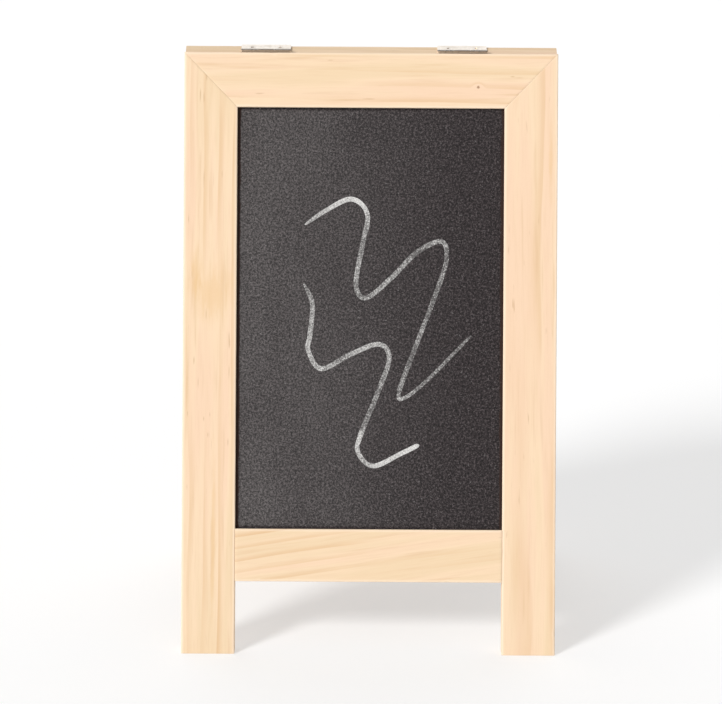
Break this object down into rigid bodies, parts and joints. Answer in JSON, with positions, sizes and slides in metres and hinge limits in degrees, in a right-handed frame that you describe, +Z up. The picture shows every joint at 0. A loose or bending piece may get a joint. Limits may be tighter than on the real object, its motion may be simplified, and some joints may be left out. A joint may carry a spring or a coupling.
{
  "type": "menu chalkboard easel",
  "caption": "Small tabletop A-frame menu board: pine frames with recessed chalkboard panels, hinged along the top edge, with folding stays.",
  "frame": {"origin": "on the floor, in the middle of the footprint", "axes": "+X to the right of someone facing the front board, the front board faces -Y, +Z up"},
  "size_m": [0.25, 0.2332, 0.3899],
  "materials": {
    "pine": "smooth sanded pine under a clear matte sealer",
    "beech": "bare beech dowel",
    "chalkboard": "hardboard with matte black chalkboard paint on its face",
    "plated_steel": "bright nickel plate",
    "zinc_steel": "satin zinc plate",
    "bare_steel": "plain drawn steel"
  },
  "bodies": {
    "front_frame": {"front_left_stile": "pine", "front_right_stile": "pine", "front_top_rail": "pine", "front_bottom_rail": "pine", "front_chalkboard": "chalkboard", "front_left_mitre_nail": "bare_steel", "front_left_upper_dowel": "beech", "front_left_lower_dowel": "beech", "front_right_mitre_nail": "bare_steel", "front_right_upper_dowel": "beech", "front_right_lower_dowel": "beech", "left_hinge_front_leaf": "plated_steel", "left_hinge_front_screw_1": "plated_steel", "left_hinge_front_screw_2": "plated_steel", "left_hinge_pin": "bare_steel", "left_stay_front_screw": "zinc_steel", "left_stay_front_washer": "zinc_steel", "right_hinge_front_leaf": "plated_steel", "right_hinge_front_screw_1": "plated_steel", "right_hinge_front_screw_2": "plated_steel", "right_hinge_pin": "bare_steel", "right_stay_front_screw": "zinc_steel", "right_stay_front_washer": "zinc_steel"},
    "rear_frame": {"rear_left_stile": "pine", "rear_right_stile": "pine", "rear_top_rail": "pine", "rear_bottom_rail": "pine", "rear_chalkboard": "chalkboard", "rear_left_mitre_nail": "bare_steel", "rear_left_upper_dowel": "beech", "rear_left_lower_dowel": "beech", "rear_right_mitre_nail": "bare_steel", "rear_right_upper_dowel": "beech", "rear_right_lower_dowel": "beech", "left_hinge_rear_leaf": "plated_steel", "left_hinge_rear_screw_1": "plated_steel", "left_hinge_rear_screw_2": "plated_steel", "left_stay_rear_screw": "zinc_steel", "left_stay_rear_washer": "zinc_steel", "right_hinge_rear_leaf": "plated_steel", "right_hinge_rear_screw_1": "plated_steel", "right_hinge_rear_screw_2": "plated_steel", "right_stay_rear_screw": "zinc_steel", "right_stay_rear_washer": "zinc_steel"},
    "left_stay_front": {"left_stay_front_link": "zinc_steel", "left_stay_front_rivet": "zinc_steel"},
    "right_stay_front": {"right_stay_front_link": "zinc_steel", "right_stay_front_rivet": "zinc_steel"},
    "left_stay_rear": {"left_stay_rear_link": "zinc_steel", "left_stay_rear_rivet": "zinc_steel"},
    "right_stay_rear": {"right_stay_rear_link": "zinc_steel", "right_stay_rear_rivet": "zinc_steel"}
  },
  "joints": [
    {"name": "fold", "type": "hinge", "parent": "front_frame", "child": "rear_frame", "pos_m": [0, 0, 0.38763], "axis": [-1, 0, 0], "range_deg": [0, 30]},
    {"name": "left_stay_front_turn", "type": "hinge", "parent": "front_frame", "child": "left_stay_front", "pos_m": [-0.0878, -0.07989, 0.10259], "axis": [1, 0, 0], "range_deg": [0, 72.61]},
    {"name": "left_stay_rear_turn", "type": "hinge", "parent": "rear_frame", "child": "left_stay_rear", "pos_m": [-0.0878, 0.07989, 0.10259], "axis": [-1, 0, 0], "range_deg": [0, 72.61]},
    {"name": "right_stay_front_turn", "type": "hinge", "parent": "front_frame", "child": "right_stay_front", "pos_m": [0.0878, -0.07989, 0.10259], "axis": [1, 0, 0], "range_deg": [0, 72.61]},
    {"name": "right_stay_rear_turn", "type": "hinge", "parent": "rear_frame", "child": "right_stay_rear", "pos_m": [0.0878, 0.07989, 0.10259], "axis": [-1, 0, 0], "range_deg": [0, 72.61]}
  ],
  "couplings": [
    {"joint": "left_stay_front_turn", "follows": "fold", "ratio": 2.4187},
    {"joint": "left_stay_rear_turn", "follows": "fold", "ratio": 2.4187},
    {"joint": "right_stay_front_turn", "follows": "fold", "ratio": 2.4187},
    {"joint": "right_stay_rear_turn", "follows": "fold", "ratio": 2.4187}
  ]
}
